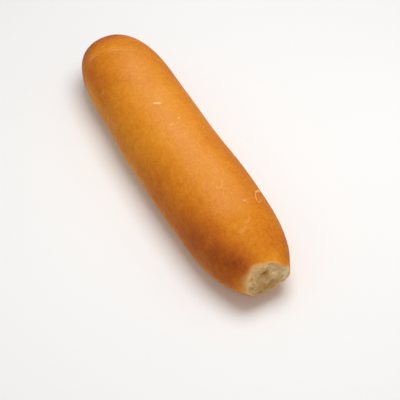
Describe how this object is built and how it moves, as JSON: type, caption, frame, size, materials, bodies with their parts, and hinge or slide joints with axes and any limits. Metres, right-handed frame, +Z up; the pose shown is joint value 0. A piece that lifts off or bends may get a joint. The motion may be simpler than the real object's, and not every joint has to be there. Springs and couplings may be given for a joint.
{
  "type": "bread roll",
  "caption": "Slim soft bread roll for a split sandwich or sausage: glazed golden-brown crust, domed at one end, torn to open pale crumb at the other, with a flat baked underside.",
  "frame": {"origin": "bottom centre of the roll's box, on the plane of its flat underside", "axes": "+X along the roll towards the torn end, +Y to the left of that, +Z up"},
  "size_m": [0.1808, 0.0466, 0.0369],
  "materials": {
    "crust": "satin baked crust, golden on top and browner on the flanks, with pale open crumb on the torn end"
  },
  "bodies": {
    "root": {"fino_roll": "crust"}
  },
  "joints": []
}
